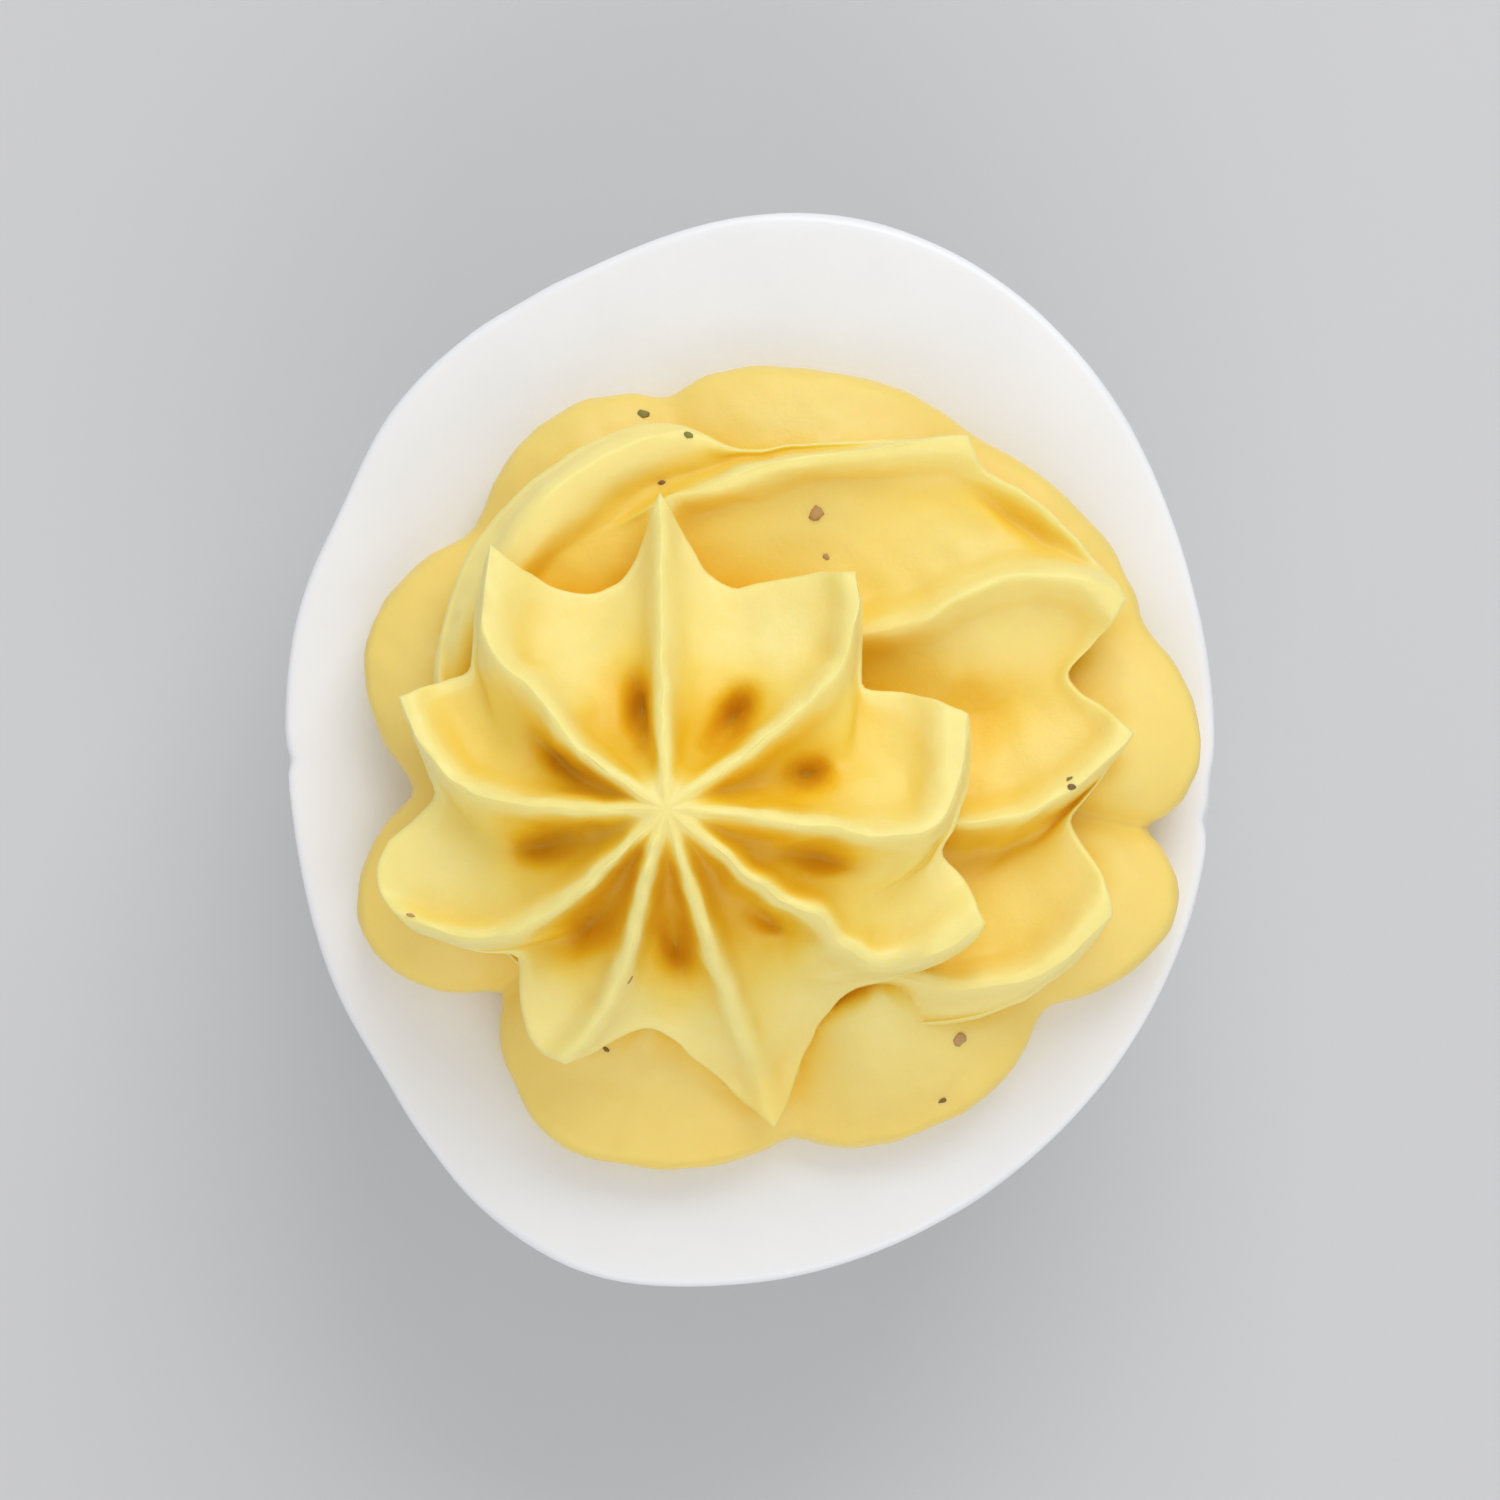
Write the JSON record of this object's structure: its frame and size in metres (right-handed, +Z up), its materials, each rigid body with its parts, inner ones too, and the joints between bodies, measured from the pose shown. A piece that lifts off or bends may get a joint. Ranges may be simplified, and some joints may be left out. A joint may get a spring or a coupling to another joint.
{
  "type": "deviled egg",
  "caption": "Lengthwise half of a boiled egg on a small flat spot, its yolk hollow filled and topped with a star-piped yolk rosette.",
  "frame": {"origin": "middle of the bounding box across and along, on the flat spot under the white that the egg stands on", "axes": "+Z up, out of the cut face; +Y along the egg's length; +X across it"},
  "size_m": [0.0454, 0.0525, 0.0395],
  "materials": {
    "egg_white": "boiled egg white, moist and softly glossy, slightly translucent at the rim",
    "yolk_filling": "whipped yolk paste, satin, deeper orange in its folds",
    "spice_flecks": "dry flecks of ground pepper and herb in the paste"
  },
  "bodies": {
    "root": {"egg_white": "egg_white", "yolk_filling": "yolk_filling"}
  },
  "joints": []
}
